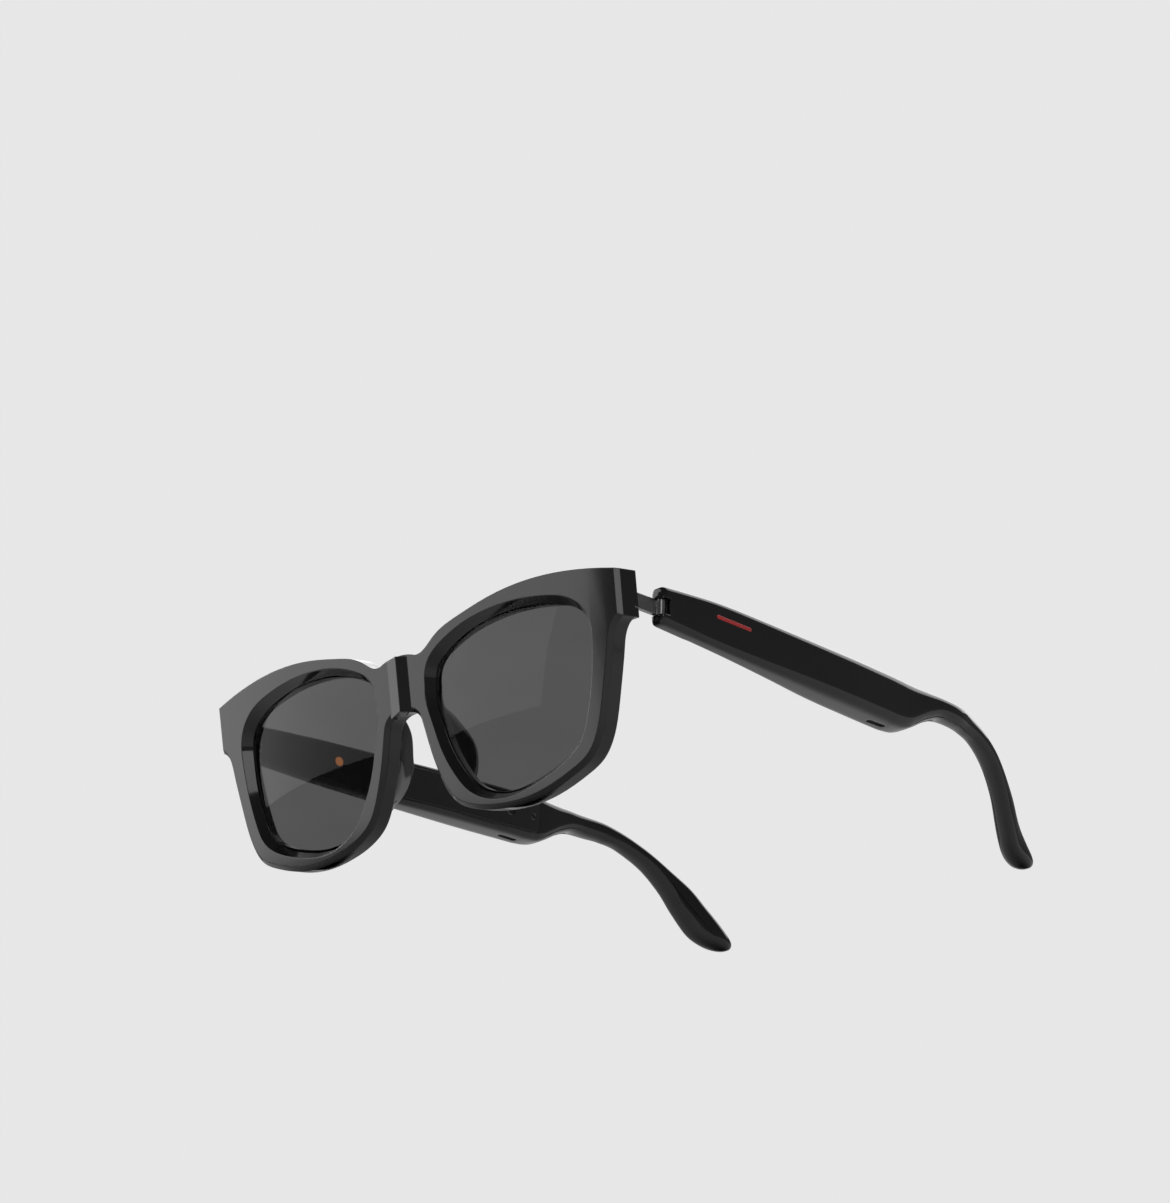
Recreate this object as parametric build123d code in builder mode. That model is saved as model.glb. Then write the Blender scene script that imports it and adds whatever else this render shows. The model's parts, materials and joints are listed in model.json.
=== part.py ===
from build123d import *
import math
import os

# Smart glasses: a thick gloss front with smoked lenses, and two folding temples that hold the
# electronics. Everything is drawn in the wearing frame: +X is the wearer's left, +Y runs back
# along the temples, +Z is up, and the origin is the middle of the bridge's front face.
# At export the whole model is tipped and dropped so that it stands on its rims and ear tips.

# ---- driving dimensions, mm ----
face_tilt = 9.8             # pantoscopic tilt of the front, top edge forward
face_radius = 625.0         # wrap of the front around the head
rim_depth = 5.0
half_width = 74.6           # at the front edge of the end pieces
end_block_inner = 67.0
end_block_front = 6.5       # inside the rim's own depth
end_block_back = 10.8       # rear face of the end block, behind the flat face plane
end_block_low = 12.0
edge_bevel = 1.1            # around the rims' outer edge and the end blocks' outer edge
bridge_half, bridge_shoulder = 6.3, 18.35      # the bridge facet's upper corners
bridge_foot, bridge_low = 4.1, 4.2             # and its lower corners
bridge_slab = 4.0
bridge_slope = 10.0         # its two halves fall away from an upright ridge
bridge_crown = 0.65         # the ridge, proud of the face

lens_centre = 37.0          # optical centre, sideways from the bridge
lens_inset = 2.2            # the rim's inner wall slopes in by this much
lens_seat_depth = 3.1
lens_radius = 180.0
lens_crest_depth = 0.9
lens_thickness = 1.4
lens_front_reach, lens_back_reach = 2.0, 12.0
opening_flare, opening_flare_depth = 0.64, 0.9     # the opening's wall, drawn out past the face

hinge_x, hinge_y = 74.8, 15.4
leaf_low, leaf_high = 16.0, 19.9
leaf_outer_x, leaf_thickness = 74.3, 1.1
barrel_radius, pin_radius, pin_clearance = 1.1, 0.5, 0.04
knuckle_gap = 0.15          # between the barrel and the temple's two knuckles
knuckle_slot_back, outer_slot_back = 17.25, 16.7     # behind the pin, and behind the barrel outside

temple_front_y = 14.2
temple_edge_radius = 1.3
outer_wall = 1.4
cover_thickness = 1.2
cover_span = (26.0, 106.0, 13.9, 23.3)      # back from, to, up from, to
cavity_span = (30.0, 102.0, 15.1, 22.1)
through = 90.0              # reach of every cutter and blank, more than half the model
cover_corner, cavity_corner = 2.0, 1.2
stand_angle = 6.6           # tips the model back until rims and ear tips share one surface

# ---- outlines ----
# The front, upright on the face plane, the wearer's left half.
bridge_top = 19.4
arch_top = 5.2
brow = [(6.6, 18.3), (8.3, 18.4), (13.4, 21.3), (22.3, 24.4), (33.7, 26.65),
        (47.2, 27.6), (60.1, 26.6), (half_width, 23.65)]
rim = [(half_width - 0.3, end_block_low), (72.2, 10.5), (70.9, 8.0), (70.1, 4.6), (68.4, -2.4),
       (66.5, -9.6), (64.4, -15.2), (60.8, -19.9), (55.5, -22.6), (48.0, -25.0), (38.0, -26.4),
       (29.0, -25.8), (21.2, -24.0), (14.7, -20.3), (10.9, -14.2), (8.2, -6.9), (5.9, 1.8)]
# The lens opening at the front face, sideways from the lens centre.
opening = [(-28.3, 11.0), (-25.8, 16.9), (-20.5, 20.0), (-13.0, 22.4), (-4.4, 23.6), (4.6, 23.7),
           (14.6, 22.5), (22.8, 19.9), (27.0, 16.0), (28.5, 11.4), (28.3, 6.4), (27.2, -0.7),
           (24.6, -10.0), (21.9, -15.4), (17.6, -18.7), (12.0, -21.0), (5.0, -22.9),
           (-2.5, -23.9), (-9.6, -23.0), (-15.7, -20.0), (-20.4, -14.8), (-24.4, -7.6),
           (-27.3, 1.3), (-28.6, 7.0)]
# A temple from the side, as (back, up), from the hinge over the top, around the tip and back below.
temple_side = [(temple_front_y, 23.2), (40.0, 24.8), (75.0, 25.0), (122.0, 24.9), (130.0, 24.6),
               (135.5, 23.5), (142.0, 21.0), (149.0, 16.9), (157.5, 10.3), (163.0, 4.4), (168.5, -1.0),
               (171.6, -3.7), (171.8, -5.4), (169.6, -6.4), (165.0, -6.6), (160.5, -4.9), (157.0, -1.0),
               (153.6, 4.6), (150.0, 10.3), (144.3, 15.3), (137.0, 18.1), (129.0, 19.1), (121.5, 19.0),
               (116.0, 17.0), (111.0, 14.2), (107.6, 12.6), (103.5, 12.1), (85.0, 12.1), (50.0, 12.3),
               (temple_front_y, 13.4)]
# A temple from above, as (outward, back), and its thickness at stations along it.
temple_outer = [(76.9, temple_front_y), (76.7, 22.0), (75.7, 50.0), (74.5, 82.0), (72.6, 107.0),
                (71.3, 126.0), (69.4, 134.0), (67.0, 146.0), (63.0, 157.0), (60.2, 164.0), (59.0, 173.0)]
temple_inner = [(72.2, temple_front_y), (71.4, 35.0), (69.0, 55.0), (66.3, 72.0), (64.9, 86.0),
                (63.6, 105.0), (64.4, 118.0), (64.8, 128.0), (62.6, 140.0), (58.6, 152.0),
                (54.6, 160.0), (52.2, 167.0), (51.6, 173.0)]

tilt = math.radians(face_tilt)
face_normal = Vector(0, -math.cos(tilt), -math.sin(tilt))
face_up = Vector(0, -math.sin(tilt), math.cos(tilt))
face_plane = Plane((0, 0, 0), x_dir=(1, 0, 0), z_dir=face_normal)
plan_plane = Plane((0, 0, 0), x_dir=(1, 0, 0), z_dir=face_up)      # its y is depth behind the face
wrap = math.asin(lens_centre / face_radius)
lens_normal = face_normal * math.cos(wrap) + Vector(1, 0, 0) * math.sin(wrap)
lens_side = Vector(1, 0, 0) * math.cos(wrap) - face_normal * math.sin(wrap)
pieces = {}


def face_sag(across):
    """Depth of the wrapped front behind its flat plane, a distance from the middle."""
    return face_radius - math.sqrt(face_radius ** 2 - across ** 2)


lens_origin = Vector(lens_centre, 0, 0) - face_normal * face_sag(lens_centre)
lens_plane = Plane(lens_origin, x_dir=lens_side, z_dir=lens_normal)


def inset_points(points, inset):
    """A closed outline's points, each moved towards the inside along the outline's normal."""
    moved = []
    for i, (x, y) in enumerate(points):
        before, after = points[i - 1], points[(i + 1) % len(points)]
        along = Vector(after[0] - before[0], after[1] - before[1]).normalized()
        moved.append((x + along.Y * inset, y - along.X * inset))
    return moved


def opening_sketch(depth, inset):
    """The lens opening on a plane behind the face, moved inward by an inset."""
    with BuildSketch(lens_plane.offset(-depth)) as sketch:
        with BuildLine():
            Spline(*inset_points(opening, inset), periodic=True)
        make_face()
    return sketch.sketch


def mirrored(shape):
    """The same piece for the wearer's right side."""
    with BuildPart() as other:
        mirror(shape, about=Plane.YZ)
    return other.part


# ---- lens: a curved, smoked disc that fits the straight part of the rim's opening ----
with BuildPart() as lens:
    extrude(opening_sketch(-lens_front_reach, lens_inset), amount=-lens_back_reach)
    ball_centre = lens_plane.offset(-lens_crest_depth - lens_radius).origin
    with Locations(Plane(ball_centre, x_dir=lens_side, z_dir=face_up)):
        Sphere(lens_radius, mode=Mode.INTERSECT)
        Sphere(lens_radius - lens_thickness, mode=Mode.SUBTRACT)
pieces["left_lens"] = lens.part
pieces["right_lens"] = mirrored(lens.part)

# ---- hinge leaf: a steel tang in the end block, a flat leaf and the barrel around the pin ----
leaf_height = leaf_high - leaf_low
leaf_plane = Plane.XY.offset(leaf_low)
tang_inner_x, tang_front_y = 72.0, 4.2
tang_step_y, tang_back_y = 6.9, 8.0     # where the leaf leaves the tang, outside and inside
with BuildPart() as hinge_leaf:
    with BuildSketch(leaf_plane):
        with BuildLine():
            inner = leaf_outer_x - leaf_thickness
            Polyline((tang_inner_x, tang_front_y), (inner, tang_front_y), (inner, tang_step_y),
                     (leaf_outer_x, tang_step_y), (leaf_outer_x, hinge_y), (inner, hinge_y),
                     (inner, tang_back_y), (tang_inner_x, tang_back_y), close=True)
        make_face()
        with Locations((hinge_x, hinge_y)):
            Circle(barrel_radius)
            Circle(pin_radius + pin_clearance, mode=Mode.SUBTRACT)
    extrude(amount=leaf_height)
pieces["left_hinge_leaf"] = hinge_leaf.part
pieces["right_hinge_leaf"] = mirrored(hinge_leaf.part)

# ---- two screws that hold the tang, driven from inside the end block ----
screw_head_x, screw_shank_x = 67.6, 68.2
screw_head_radius, screw_shank_radius = 0.7, 0.4
drive_width, drive_length, drive_depth = 0.2, 1.0, 0.3
screw_points = [(6.6, 16.9), (6.6, 19.0)]
with BuildPart() as hinge_screws:
    with BuildSketch(Plane.YZ.offset(screw_shank_x)):
        with Locations(*screw_points):
            Circle(screw_shank_radius)
    extrude(amount=tang_inner_x - screw_shank_x)
    with BuildSketch(Plane.YZ.offset(screw_head_x)):
        with Locations(*screw_points):
            Circle(screw_head_radius)
    extrude(amount=screw_shank_x - screw_head_x)
    with BuildSketch(Plane.YZ.offset(screw_head_x)):
        with Locations(*screw_points):
            Rectangle(drive_width, drive_length)
    extrude(amount=drive_depth, mode=Mode.SUBTRACT)
pieces["left_hinge_screws"] = hinge_screws.part
pieces["right_hinge_screws"] = mirrored(hinge_screws.part)

# ---- front frame: one wrapped moulding with bevelled rims, end blocks and a ridged bridge ----
with BuildSketch(face_plane) as front_outline:
    with BuildLine():
        Line((0, arch_top), (0, bridge_top))
        Spline((0, bridge_top), (3.6, 19.15), brow[0])
        Spline(*brow)
        Line(brow[-1], rim[0])
        Spline(*rim)
        Spline(rim[-1], (3.7, 4.4), (0, arch_top), tangents=((-0.25, 0.97), (-1, 0)))
    make_face()

with BuildPart() as half_front:
    extrude(front_outline.sketch, amount=through, both=True)
    with BuildSketch(plan_plane):
        with BuildLine():
            near, far = face_sag(through), face_sag(through) + rim_depth
            ThreePointArc((-through, near), (0, 0), (through, near))
            Line((through, near), (through, far))
            ThreePointArc((through, far), (0, rim_depth), (-through, far))
            Line((-through, far), (-through, near))
        make_face()
    extrude(amount=through, both=True, mode=Mode.INTERSECT)
    face_edges = half_front.faces().sort_by(SortBy.AREA)[-2:].sort_by(Axis.Y)[0].edges()
    rim_edge = face_edges.sort_by(SortBy.LENGTH)[-1]
    end_edge = face_edges.filter_by(lambda e: e.center().X > half_width - 1)[0]
    chamfer([rim_edge, end_edge], length=edge_bevel)

with BuildPart() as end_block:
    extrude(front_outline.sketch, amount=through, both=True)
    with BuildSketch(face_plane.offset(-end_block_front)):
        with Locations((end_block_inner, end_block_low)):
            Rectangle(through, through, align=(Align.MIN, Align.MIN))
    extrude(amount=end_block_front - end_block_back, mode=Mode.INTERSECT)

with BuildPart() as lens_hole:
    flared = opening_sketch(-opening_flare_depth, -opening_flare)
    seat = opening_sketch(lens_seat_depth, lens_inset)
    loft([flared.face(), seat.face()])
    extrude(seat, amount=-lens_back_reach)

with BuildPart() as left_half:
    add(half_front.part)
    add(end_block.part)
    add(lens_hole.part, mode=Mode.SUBTRACT)
    add(hinge_leaf.part, mode=Mode.SUBTRACT)
    with BuildSketch(Plane.YZ.offset(screw_shank_x)):
        with Locations(*screw_points):
            Circle(screw_shank_radius)
    extrude(amount=tang_inner_x - screw_shank_x, mode=Mode.SUBTRACT)
    with BuildSketch(Plane.YZ.offset(end_block_inner - 1)):
        with Locations(*screw_points):
            Circle(screw_head_radius)
    extrude(amount=screw_shank_x - end_block_inner + 1, mode=Mode.SUBTRACT)

with BuildPart() as bridge_ridge:
    with BuildSketch(face_plane.offset(bridge_slab / 2)):
        with BuildLine():
            Polyline((-bridge_half, bridge_shoulder), (0, bridge_top), (bridge_half, bridge_shoulder),
                     (bridge_foot, bridge_low), (0, arch_top), (-bridge_foot, bridge_low), close=True)
        make_face()
    extrude(amount=-bridge_slab)
    with BuildSketch(plan_plane):
        with BuildLine():
            fallen = through * math.tan(math.radians(bridge_slope)) - bridge_crown
            Polyline((0, -bridge_crown), (through, fallen), (through, through),
                     (-through, through), (-through, fallen), close=True)
        make_face()
    extrude(amount=through, both=True, mode=Mode.INTERSECT)

with BuildPart() as front_frame:
    add(left_half.part)
    mirror(left_half.part, about=Plane.YZ)
    add(bridge_ridge.part)
pieces["front_frame"] = front_frame.part

# ---- nose pads: curved fins bonded behind the nose side of each rim ----
pad_across, pad_up = 10.6, -5.6         # the pad's middle, on the face
pad_length, pad_width, pad_lean = 22.6, 4.6, 19.0
pad_start_depth, pad_back_depth = 4.0, 13.5
pad_arc_radius, pad_arc_up = 13.2, -5.3     # the fin's back edge, seen from the side
lean = math.radians(pad_lean)
pad_along = face_up * math.cos(lean) - Vector(math.sin(lean), 0, 0)
pad_origin = Vector(pad_across, 0, 0) + face_up * pad_up - face_normal * pad_start_depth
pad_side = Plane((0, 0, 0), x_dir=-face_normal, z_dir=(1, 0, 0))      # its x is depth, its y is up
with BuildPart() as nose_pad:
    with BuildSketch(Plane(pad_origin, x_dir=pad_along, z_dir=face_normal)):
        SlotOverall(pad_length, pad_width)
    extrude(amount=pad_start_depth - pad_back_depth)
    with BuildSketch(pad_side):
        with Locations((pad_back_depth - pad_arc_radius, pad_arc_up)):
            Circle(pad_arc_radius)
    extrude(amount=through, mode=Mode.INTERSECT)
    with BuildSketch(plan_plane):
        with Locations((0, face_radius)):
            Circle(face_radius - rim_depth)
    extrude(amount=through, both=True, mode=Mode.INTERSECT)
pieces["left_nose_pad"] = nose_pad.part
pieces["right_nose_pad"] = mirrored(nose_pad.part)

# ---- temple: the side outline and the plan outline cross, then every long edge is rounded ----
with BuildPart() as temple_blank:
    with BuildSketch(Plane.YZ):
        with BuildLine():
            Spline(*temple_side)
            Line(temple_side[-1], temple_side[0])
        make_face()
    extrude(amount=through)
    with BuildSketch(Plane.XY):
        with BuildLine():
            Spline(*temple_outer)
            Line(temple_outer[-1], temple_inner[-1])
            Spline(*temple_inner)
            Line(temple_inner[0], temple_outer[0])
        make_face()
    extrude(amount=through, both=True, mode=Mode.INTERSECT)
    corners = temple_blank.edges().filter_by(Axis.Z).sort_by(Axis.Y)[:2]
    fillet(corners, radius=temple_edge_radius)


def plan_band(low, high, outline):
    """A zone that follows a temple's plan outline, between two sideways offsets from it."""
    with BuildPart() as band:
        with BuildSketch(Plane.XY):
            with BuildLine():
                lower = Spline(*[(x + low, y) for x, y in outline])
                upper = Spline(*[(x + high, y) for x, y in outline])
                Line(lower @ 0, upper @ 0)
                Line(lower @ 1, upper @ 1)
            make_face()
        extrude(amount=through, both=True)
    return band.part


def side_block(y_low, y_high, z_low, z_high, corner):
    """A block through the whole temple, seen from the side as a rounded rectangle."""
    with BuildPart() as block:
        with BuildSketch(Plane.YZ):
            with Locations(((y_low + y_high) / 2, (z_low + z_high) / 2)):
                RectangleRounded(y_high - y_low, z_high - z_low, corner)
        extrude(amount=through)
    return block.part


def side_rod(points, radius):
    """Rods along X through the whole temple at (back, up) points."""
    with BuildPart() as rods:
        with BuildSketch(Plane.YZ):
            with Locations(*points):
                Circle(radius)
        extrude(amount=through)
    return rods.part


beyond = 40.0               # sideways, past the temple's whole thickness
with BuildPart() as cover_zone:
    add(temple_blank.part)
    add(plan_band(-beyond, cover_thickness, temple_inner), mode=Mode.INTERSECT)
    add(side_block(*cover_span, cover_corner), mode=Mode.INTERSECT)

with BuildPart() as cavity:
    add(side_block(*cavity_span, cavity_corner))
    add(plan_band(-beyond, -outer_wall, temple_outer), mode=Mode.INTERSECT)
    add(plan_band(cover_thickness, beyond, temple_inner), mode=Mode.INTERSECT)

# ---- pieces let into the cover or the shell, cut flush with the curved skin ----
contact_points = [(90.0, 18.5), (96.0, 18.5)]
contact_faces = [64.8, 64.4]            # flat, a little below the skin
contact_radius, contact_depth = 1.3, 0.8
light_point, light_radius = (40.0, 19.5), 1.25
cover_screw_points = [(28.0, 18.5), (104.0, 18.5)]
cover_shank_ends = [75.2, 67.6]         # how far out each screw reaches
cover_head_radius, cover_shank_radius, cover_shank_start = 0.85, 0.45, 0.5
inlay_span, inlay_corner, inlay_depth = (33.0, 45.5, 19.9, 20.9), 0.45, 0.4
with BuildPart() as charging_contacts:
    for point, face_x in zip(contact_points, contact_faces):
        with BuildSketch(Plane.YZ.offset(face_x)):
            with Locations(point):
                Circle(contact_radius)
        extrude(amount=contact_depth)
with BuildPart() as status_light:
    add(cover_zone.part)
    add(side_rod([light_point], light_radius), mode=Mode.INTERSECT)
with BuildPart() as cover_screws:
    for point, shank_end in zip(cover_screw_points, cover_shank_ends):
        with BuildSketch(Plane.YZ):
            with Locations(point):
                Circle(cover_shank_radius)
        extrude(amount=shank_end)
    add(plan_band(cover_shank_start, beyond, temple_inner), mode=Mode.INTERSECT)
    cover_heads = side_rod(cover_screw_points, cover_head_radius)
    add(cover_zone.part.intersect(cover_heads))
with BuildPart() as accent_inlay:
    add(temple_blank.part)
    add(side_block(*inlay_span, inlay_corner), mode=Mode.INTERSECT)
    add(plan_band(-inlay_depth, beyond, temple_outer), mode=Mode.INTERSECT)

# ---- ear core: a bendable wire cast into the ear part ----
core_path = [(67.8, 110.0, 20.8), (67.5, 131.0, 21.8), (64.0, 146.0, 16.4),
             (59.0, 158.0, 4.2), (56.6, 163.5, -1.6)]
core_bend, core_wire_radius = 9.0, 0.7
with BuildPart() as ear_core:
    with BuildLine():
        core = FilletPolyline(*core_path, radius=core_bend)
    with BuildSketch(Plane(core @ 0, z_dir=core % 0)):
        Circle(core_wire_radius)
    sweep()

# ---- hinge pin, pressed into the two knuckles ----
pin_low, pin_high = 13.8, 22.2
pin_bore_low = 10.0         # the bore opens below the temple, so the pin can be pressed in
with BuildPart() as hinge_pin:
    with BuildSketch(Plane.XY.offset(pin_low)):
        with Locations((hinge_x, hinge_y)):
            Circle(pin_radius)
    extrude(amount=pin_high - pin_low)

# ---- speaker grille in a slot under the back of the battery bay ----
grille_place, grille_width, grille_length, grille_corner = (68.2, 98.5), 1.7, 6.4, 0.8
grille_low, grille_thickness = 12.6, 0.6
slot_low, slot_depth = 11.0, 5.0
grille_hole_radius, grille_pitch, grille_holes = 0.15, (0.5, 0.6), (2, 9)
with BuildPart() as grille_slot:
    with BuildSketch(Plane.XY.offset(slot_low)):
        with Locations(grille_place):
            RectangleRounded(grille_width, grille_length, grille_corner)
    extrude(amount=slot_depth)
with BuildPart() as speaker_grille:
    with BuildSketch(Plane.XY.offset(grille_low)):
        with Locations(grille_place):
            RectangleRounded(grille_width, grille_length, grille_corner)
            with GridLocations(*grille_pitch, *grille_holes):
                Circle(grille_hole_radius, mode=Mode.SUBTRACT)
    extrude(amount=grille_thickness)

# ---- temple shell and its inner cover ----
slot_inside, slot_step, slot_outside, slot_front = 68.0, 75.3, 80.0, 8.0
mic_hole_place, mic_hole_radius = (73.9, 38.5), 0.4
with BuildPart() as temple_shell:
    add(temple_blank.part)
    add(cover_zone.part, mode=Mode.SUBTRACT)
    add(cavity.part, mode=Mode.SUBTRACT)
    add(cover_screws.part, mode=Mode.SUBTRACT)
    add(ear_core.part, mode=Mode.SUBTRACT)
    add(grille_slot.part, mode=Mode.SUBTRACT)
    with BuildSketch(Plane.XY.offset(leaf_low - knuckle_gap)):
        with BuildLine():
            Polyline((slot_inside, slot_front), (slot_outside, slot_front),
                     (slot_outside, outer_slot_back), (slot_step, outer_slot_back),
                     (slot_step, knuckle_slot_back), (slot_inside, knuckle_slot_back), close=True)
        make_face()
    extrude(amount=leaf_height + 2 * knuckle_gap, mode=Mode.SUBTRACT)
    with BuildSketch(Plane.XY.offset(pin_bore_low)):
        with Locations((hinge_x, hinge_y)):
            Circle(pin_radius)
    extrude(amount=pin_high - pin_bore_low, mode=Mode.SUBTRACT)
    with BuildSketch(Plane.XY.offset(slot_low)):
        with Locations(mic_hole_place):
            Circle(mic_hole_radius)
    extrude(amount=slot_depth, mode=Mode.SUBTRACT)
with BuildPart() as temple_cover:
    add(cover_zone.part)
    add(side_rod(contact_points, contact_radius), mode=Mode.SUBTRACT)
    add(cover_screws.part, mode=Mode.SUBTRACT)

# ---- sealed electronics, as plain blocks in the cavity: x, back and up ranges ----
blocks = {
    "battery": [((68.0, 71.8), (70.0, 90.0), (15.5, 21.7))],
    "circuit_board": [((72.8, 73.5), (36.5, 68.0), (15.4, 21.7))],
    "board_components": [((71.9, 72.8), (44.0, 52.0), (16.4, 20.6)),
                         ((71.9, 72.8), (54.0, 59.0), (16.4, 20.6)),
                         ((71.9, 72.8), (61.0, 66.0), (17.0, 20.0))],
    "touch_sensor": [((73.5, 73.6), (42.0, 64.0), (15.8, 21.3))],
    "microphone": [((73.5, 74.4), (37.2, 39.8), (15.4, 17.4))],
    "speaker_driver": [((66.6, 70.4), (91.2, 101.4), (15.4, 21.6))],
    "flex_cable": [((71.9, 72.0), (68.5, 92.0), (17.0, 20.0))],
}
temple_parts = {"temple_shell": temple_shell.part, "temple_cover": temple_cover.part,
                "hinge_pin": hinge_pin.part, "ear_core": ear_core.part,
                "speaker_grille": speaker_grille.part, "cover_screws": cover_screws.part,
                "charging_contacts": charging_contacts.part}
for block_name, boxes in blocks.items():
    with BuildPart() as module:
        for xs, ys, zs in boxes:
            with BuildSketch(Plane.XY.offset(zs[0])):
                with Locations((sum(xs) / 2, sum(ys) / 2)):
                    Rectangle(xs[1] - xs[0], ys[1] - ys[0])
            extrude(amount=zs[1] - zs[0])
    temple_parts[block_name] = module.part
for piece_name, shape in temple_parts.items():
    pieces["left_" + piece_name] = shape
    pieces["right_" + piece_name] = mirrored(shape)

# ---- what only one temple has: a colour inlay outside the left, a light inside the right ----
with BuildPart() as left_shell:
    add(temple_shell.part)
    add(accent_inlay.part, mode=Mode.SUBTRACT)
pieces["left_temple_shell"] = left_shell.part
pieces["left_accent_inlay"] = accent_inlay.part
with BuildPart() as right_cover:
    add(temple_cover.part)
    add(status_light.part, mode=Mode.SUBTRACT)
pieces["right_temple_cover"] = mirrored(right_cover.part)
pieces["right_status_light"] = mirrored(status_light.part)

# ---- stand the model on its rims and ear tips, centred over the origin, and write it out ----
tipped = Compound([shape.moved(Location((0, 0, 0), (-stand_angle, 0, 0))) for shape in pieces.values()])
box = tipped.bounding_box()
stand = Location((0, -box.center().Y, -box.min.Z)) * Location((0, 0, 0), (-stand_angle, 0, 0))
print("stand shift", round(-box.center().Y, 4), round(-box.min.Z, 4), "size", box.size)
os.makedirs("parts", exist_ok=True)
for label, shape in pieces.items():
    placed = shape.moved(stand)
    placed.label = label
    export_step(placed, f"parts/{label}.step")
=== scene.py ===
import json
import math

import bmesh
import bpy
from mathutils import Matrix, Vector


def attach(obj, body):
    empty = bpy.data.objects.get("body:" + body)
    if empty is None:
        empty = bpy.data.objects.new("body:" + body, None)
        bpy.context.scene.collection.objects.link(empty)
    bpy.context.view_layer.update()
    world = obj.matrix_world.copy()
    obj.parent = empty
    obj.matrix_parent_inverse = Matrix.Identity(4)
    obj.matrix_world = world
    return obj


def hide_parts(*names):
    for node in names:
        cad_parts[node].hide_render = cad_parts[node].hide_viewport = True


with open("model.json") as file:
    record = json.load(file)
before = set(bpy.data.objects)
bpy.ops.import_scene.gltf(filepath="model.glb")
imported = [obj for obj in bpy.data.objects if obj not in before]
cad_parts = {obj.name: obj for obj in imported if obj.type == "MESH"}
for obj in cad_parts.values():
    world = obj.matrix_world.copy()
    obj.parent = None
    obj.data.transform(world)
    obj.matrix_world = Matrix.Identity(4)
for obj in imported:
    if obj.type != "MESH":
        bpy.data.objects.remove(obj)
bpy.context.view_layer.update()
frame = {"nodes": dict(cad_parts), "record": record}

# Smart glasses: gloss black front and temples, smoked lenses, steel hinge leaves.
# Shapes are worked out in the wearing frame (mm, +Y back along the temples) and then
# placed in the standing frame, where rims and ear tips rest on the floor.

MM = 0.001
STAND_ANGLE = math.radians(6.6)
CONTACT_WEARING = Vector((64.8, 90.0, 18.5))        # the left charging contact, wearing frame

mounts = {m["name"]: m for m in frame["record"]["mounts"]}
tip_back = Matrix.Rotation(-STAND_ANGLE, 4, "X")
contact = Vector(mounts["left_charge_contact"]["pos_m"])
stand = Matrix.Translation(contact - tip_back @ (CONTACT_WEARING * MM)) @ tip_back


def placed(x, y, z):
    """A wearing-frame point in mm, as a standing-frame point in metres."""
    return stand @ (Vector((x, y, z)) * MM)


# ---------------------------------------------------------------- camera
CAMERA_TURNS = (46.55, -21.23, 1.45)        # azimuth, elevation and roll, degrees
CAMERA_PLACE = (832.95, -728.16, -393.37)   # in the wearing frame, mm
CAMERA_SENSOR, CAMERA_FOCAL_LENGTH = 36.0, 141.38
CAMERA_CLIP = (0.01, 50.0)


def add_camera():
    """The photograph's camera: below, in front and to the wearer's left."""
    azimuth, elevation, roll = (math.radians(turn) for turn in CAMERA_TURNS)
    back = Vector((math.sin(azimuth) * math.cos(elevation),
                   -math.cos(azimuth) * math.cos(elevation), math.sin(elevation)))
    right = (-back).cross(Vector((0, 0, 1))).normalized()
    up = right.cross(-back)
    rolled_right = right * math.cos(roll) + up * math.sin(roll)
    rolled_up = up * math.cos(roll) - right * math.sin(roll)
    pose = Matrix((rolled_right, rolled_up, back)).transposed().to_4x4()
    pose.translation = Vector(CAMERA_PLACE) * MM
    data = bpy.data.cameras.new("camera")
    data.sensor_width = CAMERA_SENSOR
    data.lens = CAMERA_FOCAL_LENGTH
    data.clip_start, data.clip_end = CAMERA_CLIP
    camera = bpy.data.objects.new("camera", data)
    bpy.context.scene.collection.objects.link(camera)
    camera.matrix_world = stand @ pose
    bpy.context.scene.camera = camera


# ---------------------------------------------------------------- materials
EDGE_RADIUS, EDGE_SAMPLES = 0.00035, 6      # how round the edges look, in metres
DRIFT_SCALE = 60                            # of the colour of plastics
POLISH_SCALE, POLISH_DETAIL = 140, 4        # of their uneven gloss
PLASTIC_RELIEF, METAL_RELIEF, METAL_RELIEF_DEPTH = 0.25, 0.15, 0.00002
BRUSH_SCALE, BRUSH_DETAIL = 900, 3
LENS_DARK, LENS_LIGHT, LENS_IOR = (0.10, 0.10, 0.102), (0.118, 0.118, 0.121), 1.17
LENS_DRIFT_SCALE = 25
UNIFORM, ALONG_Y = (1, 1, 1), (1, 0.05, 1)


def new_material(name):
    """A material with its nodes, links and shader."""
    material = bpy.data.materials.new(name)
    material.use_nodes = True
    nodes, links = material.node_tree.nodes, material.node_tree.links
    return material, nodes, links, nodes["Principled BSDF"]


def noise(nodes, links, scale, detail=2.0, stretch=UNIFORM):
    """Object-space noise, stretched along the axes."""
    coords = nodes.new("ShaderNodeTexCoord")
    mapping = nodes.new("ShaderNodeMapping")
    mapping.inputs["Scale"].default_value = stretch
    texture = nodes.new("ShaderNodeTexNoise")
    texture.inputs["Scale"].default_value = scale
    texture.inputs["Detail"].default_value = detail
    links.new(coords.outputs["Object"], mapping.inputs["Vector"])
    links.new(mapping.outputs["Vector"], texture.inputs["Vector"])
    return texture.outputs["Fac"]


def ramp(nodes, links, source, low, high):
    """Maps a 0-1 value to a range."""
    node = nodes.new("ShaderNodeMapRange")
    node.inputs["To Min"].default_value = low
    node.inputs["To Max"].default_value = high
    links.new(source, node.inputs["Value"])
    return node.outputs["Result"]


def tint(nodes, links, source, dark, light):
    """Mixes two colours by a 0-1 value."""
    node = nodes.new("ShaderNodeMix")
    node.data_type = "RGBA"
    node.inputs["A"].default_value = (*dark, 1)
    node.inputs["B"].default_value = (*light, 1)
    links.new(source, node.inputs["Factor"])
    return node.outputs["Result"]


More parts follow.
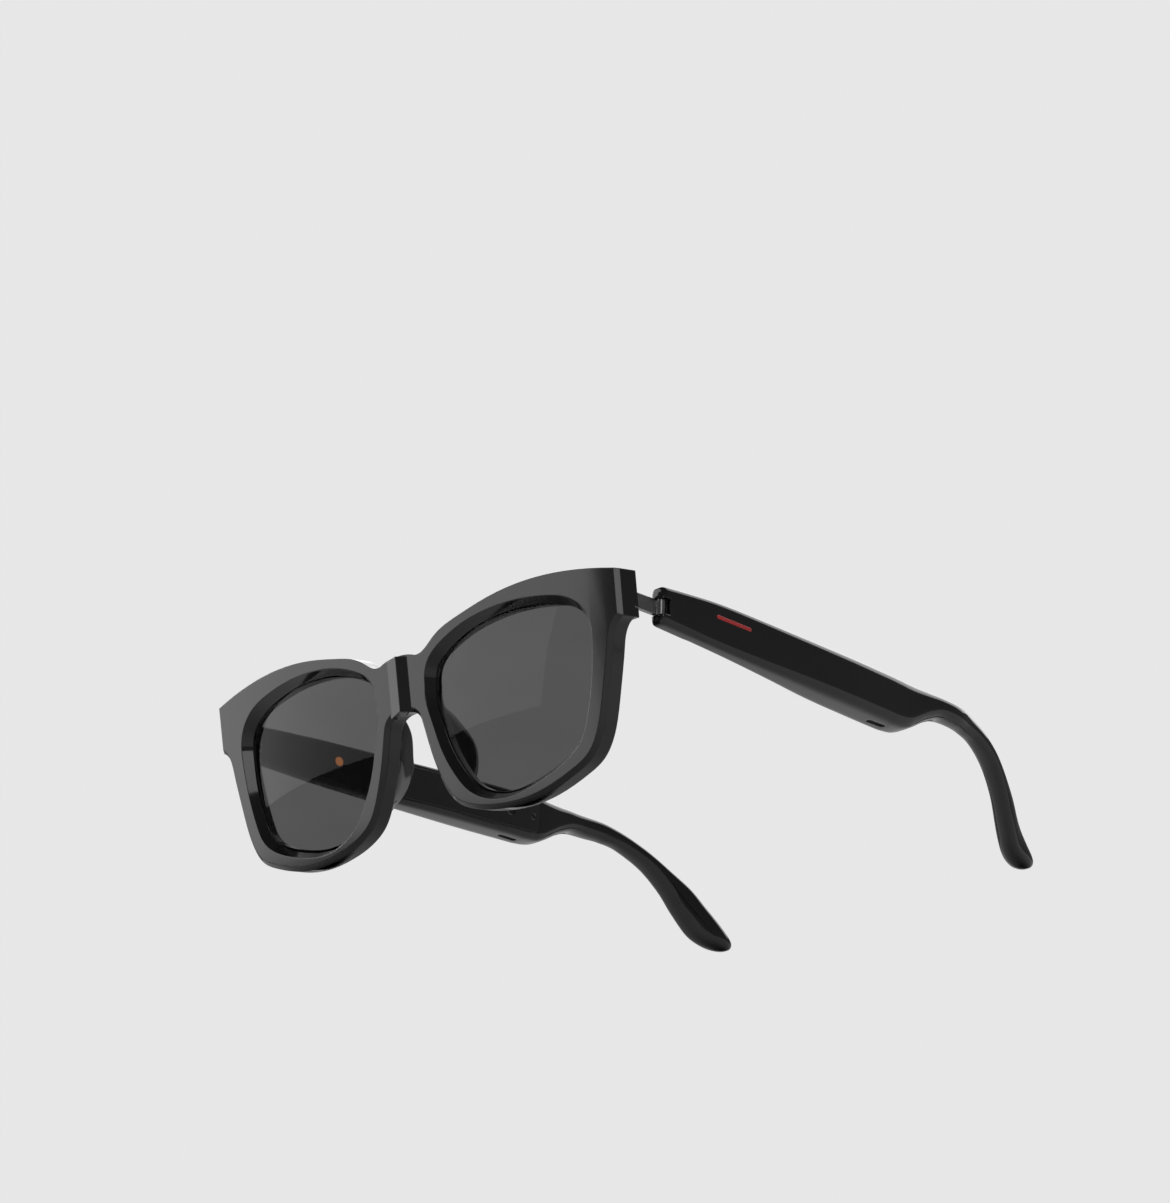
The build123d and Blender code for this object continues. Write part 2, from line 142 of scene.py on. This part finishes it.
def bump(nodes, links, source, shader, strength, distance):
    """A fine relief over edges that catch the light as if slightly rounded."""
    soft_edge = nodes.new("ShaderNodeBevel")
    soft_edge.samples = EDGE_SAMPLES
    soft_edge.inputs["Radius"].default_value = EDGE_RADIUS
    node = nodes.new("ShaderNodeBump")
    links.new(soft_edge.outputs["Normal"], node.inputs["Normal"])
    node.inputs["Strength"].default_value = strength
    node.inputs["Distance"].default_value = distance
    links.new(source, node.inputs["Height"])
    links.new(node.outputs["Normal"], shader.inputs["Normal"])


def plastic(name, dark, light, rough, grain_scale, grain_depth):
    """Moulded plastic with a faint colour drift, uneven polish and a very fine surface grain."""
    material, nodes, links, shader = new_material(name)
    drift = noise(nodes, links, DRIFT_SCALE)
    links.new(tint(nodes, links, drift, dark, light), shader.inputs["Base Color"])
    polish = ramp(nodes, links, noise(nodes, links, POLISH_SCALE, POLISH_DETAIL), *rough)
    links.new(polish, shader.inputs["Roughness"])
    bump(nodes, links, noise(nodes, links, grain_scale, 1), shader, PLASTIC_RELIEF, grain_depth)
    return material


def metal(name, dark, light, rough, stretch=UNIFORM):
    """Metal with a grain that can be drawn out along an axis."""
    material, nodes, links, shader = new_material(name)
    grain = noise(nodes, links, BRUSH_SCALE, BRUSH_DETAIL, stretch)
    links.new(tint(nodes, links, grain, dark, light), shader.inputs["Base Color"])
    links.new(ramp(nodes, links, grain, *rough), shader.inputs["Roughness"])
    shader.inputs["Metallic"].default_value = 1.0
    bump(nodes, links, grain, shader, METAL_RELIEF, METAL_RELIEF_DEPTH)
    return material


def smoked_glass(name):
    """Tinted lens: most light absorbed, a mirror-smooth surface and a faint drift in the tint."""
    material, nodes, links, shader = new_material(name)
    drift = noise(nodes, links, LENS_DRIFT_SCALE, 1, (1, 1, 3))
    links.new(tint(nodes, links, drift, LENS_DARK, LENS_LIGHT), shader.inputs["Base Color"])
    shader.inputs["Transmission Weight"].default_value = 1.0
    shader.inputs["Roughness"].default_value = 0.0
    shader.inputs["IOR"].default_value = LENS_IOR
    return material


gloss_black = plastic("gloss_black", (0.005, 0.0045, 0.0048), (0.008, 0.0074, 0.0078),
                      (0.05, 0.09), 3000, 0.000002)
cover_black = plastic("cover_black", (0.006, 0.0058, 0.006), (0.01, 0.0095, 0.01),
                      (0.2, 0.28), 2500, 0.00001)
steel = metal("hinge_steel", (0.2, 0.2, 0.205), (0.34, 0.34, 0.35), (0.2, 0.34), ALONG_Y)
screw_steel = metal("screw_steel", (0.03, 0.03, 0.03), (0.05, 0.05, 0.05), (0.3, 0.45))
gold = metal("contact_gold", (0.07, 0.052, 0.03), (0.1, 0.075, 0.043), (0.3, 0.42))
lens_glass = smoked_glass("smoked_lens")
accent_red = plastic("accent_red", (0.26, 0.003, 0.003), (0.4, 0.006, 0.006),
                     (0.36, 0.46), 3000, 0.000003)
amber = plastic("light_amber", (0.42, 0.17, 0.05), (0.6, 0.27, 0.09), (0.12, 0.2), 2500, 0.000003)
glow = amber.node_tree.nodes["Principled BSDF"].inputs
glow["Emission Color"].default_value = (1.0, 0.32, 0.06, 1)
glow["Emission Strength"].default_value = 1.5
mesh_black = plastic("grille_black", (0.01, 0.01, 0.01), (0.02, 0.02, 0.02),
                     (0.4, 0.6), 1500, 0.00002)
foil = metal("battery_foil", (0.5, 0.5, 0.52), (0.66, 0.66, 0.68), (0.3, 0.45))
solder_mask = plastic("board_green", (0.01, 0.08, 0.03), (0.02, 0.12, 0.05),
                      (0.25, 0.35), 1200, 0.00001)
film = plastic("flex_film", (0.35, 0.18, 0.04), (0.45, 0.25, 0.07), (0.2, 0.3), 900, 0.00001)

NODE_MATERIALS = {
    "front_frame": gloss_black, "nose_pad": gloss_black, "temple_shell": gloss_black,
    "temple_cover": cover_black, "lens": lens_glass, "hinge_leaf": steel, "hinge_pin": steel,
    "hinge_screws": screw_steel, "cover_screws": screw_steel, "ear_core": foil,
    "charging_contacts": gold, "accent_inlay": accent_red, "status_light": amber,
    "speaker_grille": mesh_black, "battery": foil, "circuit_board": solder_mask,
    "board_components": mesh_black, "touch_sensor": film, "microphone": foil,
    "speaker_driver": mesh_black, "flex_cable": film,
}
NODE_SMOOTHING = 25         # degrees: sharper edges than this stay crisp
FRAME_SMOOTHING = 18        # less, for the ridge down the bridge


def dress_cad_nodes():
    """Gives every CAD node its material and its crisp edges."""
    for name, node in frame["nodes"].items():
        plain = name.removeprefix("left_").removeprefix("right_")
        node.data.materials.clear()
        node.data.materials.append(NODE_MATERIALS[plain])
        smooth(node, FRAME_SMOOTHING if plain == "front_frame" else NODE_SMOOTHING)


# ---------------------------------------------------------------- shapes
# A temple from the side: pairs of (back, up) points on its top and bottom edges, from the hinge
# to the ear tip, then the section's squareness (2 is an ellipse) and its share of full width.
TEMPLE_SECTIONS = [
    ((14.2, 23.2), (14.2, 13.4), 5.0, 1.0), ((25.0, 24.05), (25.0, 13.05), 6.0, 1.0),
    ((40.0, 24.8), (40.0, 12.6), 6.5, 1.0), ((75.0, 25.0), (75.0, 12.15), 6.5, 1.0),
    ((98.0, 25.0), (98.0, 12.1), 6.5, 1.0), ((103.5, 25.0), (103.5, 12.1), 6.0, 1.0),
    ((107.6, 24.98), (107.6, 12.6), 5.0, 1.0), ((111.0, 24.95), (111.0, 14.2), 4.0, 1.0),
    ((116.0, 24.93), (116.0, 17.0), 3.2, 1.0), ((121.5, 24.9), (121.5, 19.0), 2.8, 1.0),
    ((130.0, 24.6), (128.8, 19.1), 2.6, 1.0), ((135.5, 23.5), (133.2, 18.75), 2.5, 1.0),
    ((142.0, 21.0), (138.5, 17.7), 2.4, 1.0), ((149.0, 16.9), (146.0, 13.9), 2.4, 1.0),
    ((157.5, 10.3), (151.2, 8.4), 2.4, 1.0), ((163.0, 4.4), (154.9, 2.6), 2.4, 1.0),
    ((168.6, -1.1), (158.1, -2.0), 2.4, 1.0), ((170.7, -3.1), (159.8, -3.9), 2.4, 0.97),
    ((171.6, -4.2), (161.5, -5.1), 2.4, 0.9), ((171.8, -5.1), (163.4, -5.95), 2.4, 0.78),
    ((171.4, -5.9), (165.3, -6.4), 2.4, 0.62), ((170.5, -6.35), (167.2, -6.6), 2.4, 0.38),
    ((169.4, -6.55), (168.6, -6.6), 2.4, 0.1)]
# A temple from above: (back, sideways) along its outer and its inner face.
TEMPLE_OUTER = [(14.2, 76.9), (22, 76.7), (50, 75.7), (82, 74.5), (107, 72.6), (126, 71.3),
                (134, 69.4), (146, 67.0), (157, 63.0), (164, 60.2), (173, 59.0)]
TEMPLE_INNER = [(14.2, 72.2), (35, 71.4), (55, 69.0), (72, 66.3), (86, 64.9), (105, 63.6),
                (118, 64.4), (128, 64.8), (140, 62.6), (152, 58.6), (160, 54.6), (167, 52.2),
                (173, 51.6)]
COVER_SPAN, COVER_FADE = (26.0, 106.0), 1
SKIN_INSET, COVER_INSET = 0.05, 0.2         # inside the CAD's shell, and further behind the cover
THIN = 0.03                                 # the least half-width of a section
OVAL, OUTSIDE_SQUARENESS = 2.4, 0.42        # the outside is nearer to an oval than the inside
FRONT_ROUNDING, FRONT_STEPS = 1.0, 5        # of the temple's front end
SECTION_STEPS, OUTLINE_STEPS = 9, 12        # steps between each two rows above
# The slot between the two knuckles, (across, back): deeper on the inside than on the outside.
KNUCKLE_SLOT = [(66.7, 7.25), (80.0, 7.25), (80.0, 16.7), (75.3, 16.7), (75.3, 17.25),
                (66.7, 17.25)]
KNUCKLE_SLOT_HEIGHTS = (15.85, 20.05)
GRILLE_SLOT_MIDDLE, GRILLE_SLOT_SIZE, GRILLE_SLOT_CORNER = (68.2, 98.5), (1.7, 6.4), 0.8
GRILLE_SLOT_HEIGHTS = (10.0, 12.6)
SECTION_POINTS, CORNER_POINTS = 64, 6
TEMPLE_SMOOTHING = 48


def smooth_through(rows, steps):
    """A smooth curve through rows of numbers, sampled several times between each two rows."""
    padded = [rows[0], *rows, rows[-1]]
    samples = []
    for a, b, c, d in zip(padded, padded[1:], padded[2:], padded[3:]):
        for step in range(steps):
            t = step / steps
            samples.append([0.5 * (2 * q + (r - p) * t + (2 * p - 5 * q + 4 * r - s) * t * t
                                   + (3 * q - p - 3 * r + s) * t ** 3)
                            for p, q, r, s in zip(a, b, c, d)])
    samples.append(list(rows[-1]))
    return samples


def reader(outline):
    """A function that gives an outline's sideways place at a distance back."""
    samples = smooth_through(outline, OUTLINE_STEPS)

    def sideways(back):
        for (y0, x0), (y1, x1) in zip(samples, samples[1:]):
            if back <= y1:
                return x0 + (x1 - x0) * (back - y0) / (y1 - y0)
        return samples[-1][1]
    return sideways


outer_at, inner_at = reader(TEMPLE_OUTER), reader(TEMPLE_INNER)


def ease(value, low, high):
    """Rises smoothly from 0 to 1 while a value goes from low to high."""
    t = min(max((value - low) / (high - low), 0.0), 1.0)
    return t * t * (3 - 2 * t)


def temple_ring(top, bottom, square, width, shrink=0.0, shift=(0, 0)):
    """One section of a temple, its edge drawn in by shrink and moved (back, up) by shift."""
    half = (Vector(top) - Vector(bottom)) / 2
    middle = (Vector(top) + Vector(bottom)) / 2 + Vector(shift)
    height = half.length
    ring = []
    for i in range(SECTION_POINTS):
        angle = 2 * math.pi * (i + 0.5) / SECTION_POINTS
        c, s = math.cos(angle), math.sin(angle)
        across = OVAL + OUTSIDE_SQUARENESS * (square - OVAL) if c > 0 else square
        u = math.copysign(abs(c) ** (2 / across), c)
        v = math.copysign(abs(s) ** (2 / across), s)
        back, up = middle + half * v * (1 - shrink / height)
        outside = outer_at(back) - SKIN_INSET
        start, end = COVER_SPAN
        window = (ease(back, start - COVER_FADE, start + COVER_FADE)
                  * ease(back, end + COVER_FADE, end - COVER_FADE))
        inside = inner_at(back) + SKIN_INSET + COVER_INSET * window
        wide = (outside - inside) / 2 * width
        ring.append(((outside + inside) / 2 + u * max(wide - shrink, THIN), back, up))
    return ring


def temple_rings():
    """A left temple's sections, with a rounded front end."""
    rows = smooth_through([(*t, *b, n, w) for t, b, n, w in TEMPLE_SECTIONS], SECTION_STEPS)
    rings = []
    first = rows[0]
    for step in range(FRONT_STEPS):
        angle = math.pi / 2 * step / FRONT_STEPS
        inset = FRONT_ROUNDING * (1 - math.sin(angle))
        back = FRONT_ROUNDING * (1 - math.cos(angle))
        rings.append(temple_ring(first[0:2], first[2:4], first[4], 1.0, inset, (back, 0)))
    for row in rows:
        if row[0] >= first[0] + FRONT_ROUNDING:
            rings.append(temple_ring(row[0:2], row[2:4], row[4], row[5]))
    return rings


def mesh_object(name, corners, faces, material):
    """A mesh object from wearing-frame points in mm, its faces turned outwards."""
    mesh = bpy.data.meshes.new(name)
    mesh.from_pydata([placed(*p) for p in corners], [], faces)
    mesh.materials.append(material)
    fix = bmesh.new()
    fix.from_mesh(mesh)
    bmesh.ops.recalc_face_normals(fix, faces=fix.faces)
    fix.to_mesh(mesh)
    fix.free()
    thing = bpy.data.objects.new(name, mesh)
    bpy.context.scene.collection.objects.link(thing)
    return thing


def loft(rings):
    """Corner points and faces of a closed skin through rings of points."""
    count = len(rings[0])
    corners = [p for ring in rings for p in ring]
    faces = []
    for r in range(len(rings) - 1):
        for i in range(count):
            j = (i + 1) % count
            faces.append((r * count + i, r * count + j, (r + 1) * count + j, (r + 1) * count + i))
    faces.append(tuple(range(count)))
    faces.append(tuple(range((len(rings) - 1) * count, len(rings) * count)))
    return corners, faces


def rounded_box(middle, size, corner):
    """The outline of a rounded rectangle from its middle and size, each (x, y)."""
    outline = []
    for quarter, (sx, sy) in enumerate(((1, 1), (-1, 1), (-1, -1), (1, -1))):
        for step in range(CORNER_POINTS):
            angle = math.pi / 2 * (quarter + step / (CORNER_POINTS - 1))
            outline.append((middle[0] + sx * (size[0] / 2 - corner) + corner * math.cos(angle),
                            middle[1] + sy * (size[1] / 2 - corner) + corner * math.sin(angle)))
    return outline


def slot_cutter(outline, low, high, side):
    """A block that stands along Z on an outline, as a cutter."""
    rings = [[(side * x, y, z) for x, y in outline] for z in (low, high)]
    return mesh_object("cutter", *loft(rings), gloss_black)


def cut(thing, cutter):
    """Takes a cutter's space out of a mesh object."""
    modifier = thing.modifiers.new("cut", "BOOLEAN")
    modifier.operation, modifier.solver, modifier.object = "DIFFERENCE", "EXACT", cutter
    bpy.context.view_layer.update()
    result = thing.evaluated_get(bpy.context.evaluated_depsgraph_get())
    mesh = bpy.data.meshes.new_from_object(result)
    thing.modifiers.clear()
    old = thing.data
    thing.data = mesh
    mesh.name = thing.name
    bpy.data.meshes.remove(old)
    bpy.data.objects.remove(cutter)


def smooth(thing, angle):
    """Shades an object smooth, apart from the edges sharper than an angle in degrees."""
    thing.data.shade_smooth()
    thing.data.set_sharp_from_angle(angle=math.radians(angle))


def add_temples():
    """The temple shells, smooth from hinge to ear tip, in place of the CAD's."""
    grille_slot = rounded_box(GRILLE_SLOT_MIDDLE, GRILLE_SLOT_SIZE, GRILLE_SLOT_CORNER)
    for side, word in ((1, "left"), (-1, "right")):
        rings = [[(side * x, y, z) for x, y, z in ring] for ring in temple_rings()]
        temple = mesh_object(word + "_temple_skin", *loft(rings), gloss_black)
        cut(temple, slot_cutter(KNUCKLE_SLOT, *KNUCKLE_SLOT_HEIGHTS, side))
        cut(temple, slot_cutter(grille_slot, *GRILLE_SLOT_HEIGHTS, side))
        smooth(temple, TEMPLE_SMOOTHING)
        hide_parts(word + "_temple_shell")
        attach(temple, word + "_temple")


# A nose pad, up the face: (up, its root's sideways place, back edge sideways, back edge depth).
PAD_SECTIONS = [(8.0, 6.2, 6.6, 4.3), (6.3, 5.9, 7.2, 6.7), (4.0, 5.7, 8.1, 9.3),
                (1.5, 6.1, 9.1, 11.1), (-2.6, 7.2, 11.0, 12.7), (-6.1, 8.1, 12.0, 13.2),
                (-11.2, 9.9, 13.5, 11.5), (-16.3, 12.2, 15.5, 7.6), (-18.4, 13.6, 16.3, 5.6),
                (-19.6, 14.6, 16.8, 4.4)]
PAD_ROOT_DEPTH, PAD_ROOT_WIDTH, PAD_EDGE_WIDTH = 3.6, 4.4, 2.4
PAD_LEAST_REACH = 0.3
PAD_DEEP_ROUNDING, PAD_WIDE_ROUNDING = 0.75, 0.6    # powers: the lower, the fuller the section
PAD_STRAIGHT = 0.15         # the share of a pad's depth that goes straight back
PAD_STEPS, PAD_LEVELS, PAD_SMOOTHING = 32, 6, 50
FACE_TILT = math.radians(9.8)


def on_face(across, up, depth):
    """A point given on the tilted face and behind it, in the wearing frame."""
    return (across, depth * math.cos(FACE_TILT) - up * math.sin(FACE_TILT),
            up * math.cos(FACE_TILT) + depth * math.sin(FACE_TILT))


def pad_ring(side, up, root, edge, edge_depth):
    """One level section of a pad: flush with the rim's nose side, rounded at its back edge."""
    reach = max(edge_depth - PAD_ROOT_DEPTH, PAD_LEAST_REACH)
    middle = root + SKIN_INSET + PAD_ROOT_WIDTH / 2
    ring = []
    for step in range(PAD_STEPS + 1):
        turn = math.pi * step / PAD_STEPS
        along = math.sin(turn) ** PAD_DEEP_ROUNDING
        sideways = -math.copysign(abs(math.cos(turn)) ** PAD_WIDE_ROUNDING, math.cos(turn))
        width = PAD_ROOT_WIDTH + (PAD_EDGE_WIDTH - PAD_ROOT_WIDTH) * along
        drift = ease(along, PAD_STRAIGHT, 1.0) * (edge - middle)
        ring.append(on_face(side * (middle + drift + sideways * width / 2), up,
                            PAD_ROOT_DEPTH + reach * along))
    return ring


def add_nose_pads():
    """Smooth fins moulded on behind the nose side of each rim."""
    for side, word in ((1, "left"), (-1, "right")):
        rings = [pad_ring(side, *row) for row in smooth_through(PAD_SECTIONS, PAD_LEVELS)]
        pad = mesh_object(word + "_pad_skin", *loft(rings), gloss_black)
        smooth(pad, PAD_SMOOTHING)
        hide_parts(word + "_nose_pad")
        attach(pad, "front")


# The rim's opening on the lens's own plane, (sideways from the lens's centre, up).
LENS_OPENING = [(-28.3, 11.0), (-25.8, 16.9), (-20.5, 20.0), (-13.0, 22.4), (-4.4, 23.6),
                (4.6, 23.7), (14.6, 22.5), (22.8, 19.9), (27.0, 16.0), (28.5, 11.4), (28.3, 6.4),
                (27.2, -0.7), (24.6, -10.0), (21.9, -15.4), (17.6, -18.7), (12.0, -21.0),
                (5.0, -22.9), (-2.5, -23.9), (-9.6, -23.0), (-15.7, -20.0), (-20.4, -14.8),
                (-24.4, -7.6), (-27.3, 1.3), (-28.6, 7.0)]
LENS_CENTRE, LENS_RADIUS, LENS_CREST, LENS_THICKNESS = 37.0, 180.0, 0.9, 1.4
LENS_INSET = 1.95           # its edge is let a little into the rim
EDGE_STEPS, LENS_RINGS, LENS_SMOOTHING = 8, 10, 40
LENS_MIDDLE = 0.02          # the flat spot in its middle, as a share of its size
FACE_RADIUS = 625.0         # the front's wrap around the head


def lens_edge():
    """The lens's outline, smooth and closed, inside the opening by the inset."""
    count = len(LENS_OPENING)
    moved = []
    for i, (x, y) in enumerate(LENS_OPENING):
        before, after = Vector(LENS_OPENING[i - 1]), Vector(LENS_OPENING[(i + 1) % count])
        along = (after - before).normalized()
        moved.append((x + along.y * LENS_INSET, y - along.x * LENS_INSET))
    wrapped = [moved[-2], moved[-1], *moved, moved[0], moved[1]]
    return smooth_through(wrapped, EDGE_STEPS)[2 * EDGE_STEPS:(2 + count) * EDGE_STEPS]


def lens_point(side, x, y, radius, crest):
    """A point on one of the lens's two spheres, in the wearing frame."""
    turn = math.asin(LENS_CENTRE / FACE_RADIUS)
    depth = crest + radius - math.sqrt(radius ** 2 - x * x - y * y)
    across = LENS_CENTRE + x * math.cos(turn) - depth * math.sin(turn)
    sag = FACE_RADIUS - math.sqrt(FACE_RADIUS ** 2 - LENS_CENTRE ** 2)
    behind = sag + depth * math.cos(turn) + x * math.sin(turn)
    return on_face(side * across, y, behind)


def add_lenses():
    """Lens blanks with finely divided spherical faces, in place of the CAD's."""
    edge = lens_edge()
    faces = ((LENS_RADIUS, LENS_CREST),
             (LENS_RADIUS - LENS_THICKNESS, LENS_CREST + LENS_THICKNESS))
    sizes = [LENS_MIDDLE] + [ring / LENS_RINGS for ring in range(1, LENS_RINGS + 1)]
    for side, word in ((1, "left"), (-1, "right")):
        rings = []
        for (radius, crest), order in zip(faces, (sizes, sizes[::-1])):
            for size in order:
                rings.append([lens_point(side, x * size, y * size, radius, crest) for x, y in edge])
        lens = mesh_object(word + "_lens_blank", *loft(rings), lens_glass)
        smooth(lens, LENS_SMOOTHING)
        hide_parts(word + "_lens")
        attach(lens, "front")


# ---------------------------------------------------------------- studio
LIGHT_TARGET = Vector((0, 0, 0.02))
# Name, azimuth and elevation in degrees, then distance, width and height in metres, and radiance.
SOFTBOXES = [("key_box", -52.5, 27.6, 2.5, 2.15, 1.67, 1.75),
             ("edge_strip", -73, 22, 2.0, 0.16, 1.2, 7.0),
             ("side_box", 50, 19, 1.6, 0.4, 0.62, 2.2),
             ("back_box", -162, 42, 1.3, 1.75, 0.95, 1.9)]
OPEN_LEVEL = 0.8                                # the surroundings as seen and as they light
MIRRORED_LOW, MIRRORED_HIGH = 0.2, 0.05         # as mirrored, at the horizon and overhead
FLOOR_SIZE, FLOOR_DRIFT_SCALE, FLOOR_ROUGHNESS = 8, 3, 0.6
FLOOR_DARK, FLOOR_LIGHT = (0.50, 0.50, 0.50), (0.54, 0.54, 0.54)


def from_angles(azimuth, elevation):
    """A direction from its azimuth, 0 in front of the lenses, and its elevation, in degrees."""
    turn, lift = math.radians(azimuth), math.radians(elevation)
    return math.sin(turn) * math.cos(lift), -math.cos(turn) * math.cos(lift), math.sin(lift)


def softbox(name, azimuth, elevation, distance, width, height, strength):
    """A rectangular area light that faces the object."""
    data = bpy.data.lights.new(name, "AREA")
    data.shape = "RECTANGLE"
    data.size, data.size_y = width, height
    data.energy = strength * width * height * math.pi
    light = bpy.data.objects.new(name, data)
    bpy.context.scene.collection.objects.link(light)
    light.visible_camera = False
    light.visible_transmission = False
    away = Vector(from_angles(azimuth, elevation)).normalized()
    light.location = LIGHT_TARGET + away * distance
    light.rotation_euler = away.to_track_quat("Z", "Y").to_euler()


def add_studio():
    """Soft boxes in pale surroundings that are dimmer in reflections."""
    world = bpy.data.worlds.new("studio")
    bpy.context.scene.world = world
    world.use_nodes = True
    nodes, links = world.node_tree.nodes, world.node_tree.links
    background = nodes["Background"]
    path = nodes.new("ShaderNodeLightPath")
    coords = nodes.new("ShaderNodeTexCoord")
    direction = nodes.new("ShaderNodeSeparateXYZ")
    links.new(coords.outputs["Generated"], direction.inputs["Vector"])
    level = nodes.new("ShaderNodeMapRange")
    mirrored = ramp(nodes, links, direction.outputs["Z"], MIRRORED_LOW, MIRRORED_HIGH)
    links.new(mirrored, level.inputs["To Min"])
    level.inputs["To Max"].default_value = OPEN_LEVEL
    through = nodes.new("ShaderNodeMath")
    through.operation = "MAXIMUM"
    links.new(path.outputs["Is Camera Ray"], through.inputs[0])
    links.new(path.outputs["Is Transmission Ray"], through.inputs[1])
    bright = nodes.new("ShaderNodeMath")
    bright.operation = "MAXIMUM"
    links.new(through.outputs["Value"], bright.inputs[0])
    links.new(path.outputs["Is Diffuse Ray"], bright.inputs[1])
    links.new(bright.outputs["Value"], level.inputs["Value"])
    links.new(level.outputs["Result"], background.inputs["Strength"])
    background.inputs["Color"].default_value = (1, 1, 1, 1)
    for row in SOFTBOXES:
        softbox(*row)


def add_floor():
    """A pale floor, seen only from above: from below it lets the view through."""
    bpy.ops.mesh.primitive_plane_add(size=FLOOR_SIZE, location=(0, 0, 0))
    floor = bpy.context.object
    floor.name = "floor"
    material, nodes, links, shader = new_material("floor")
    drift = noise(nodes, links, FLOOR_DRIFT_SCALE)
    links.new(tint(nodes, links, drift, FLOOR_DARK, FLOOR_LIGHT), shader.inputs["Base Color"])
    shader.inputs["Roughness"].default_value = FLOOR_ROUGHNESS
    clear = nodes.new("ShaderNodeBsdfTransparent")
    geometry = nodes.new("ShaderNodeNewGeometry")
    mix = nodes.new("ShaderNodeMixShader")
    links.new(geometry.outputs["Backfacing"], mix.inputs["Fac"])
    links.new(shader.outputs["BSDF"], mix.inputs[1])
    links.new(clear.outputs["BSDF"], mix.inputs[2])
    links.new(mix.outputs["Shader"], nodes["Material Output"].inputs["Surface"])
    floor.data.materials.append(material)


bpy.context.scene.view_settings.view_transform = "Standard"
add_camera()
dress_cad_nodes()
add_temples()
add_nose_pads()
add_lenses()
add_studio()
add_floor()
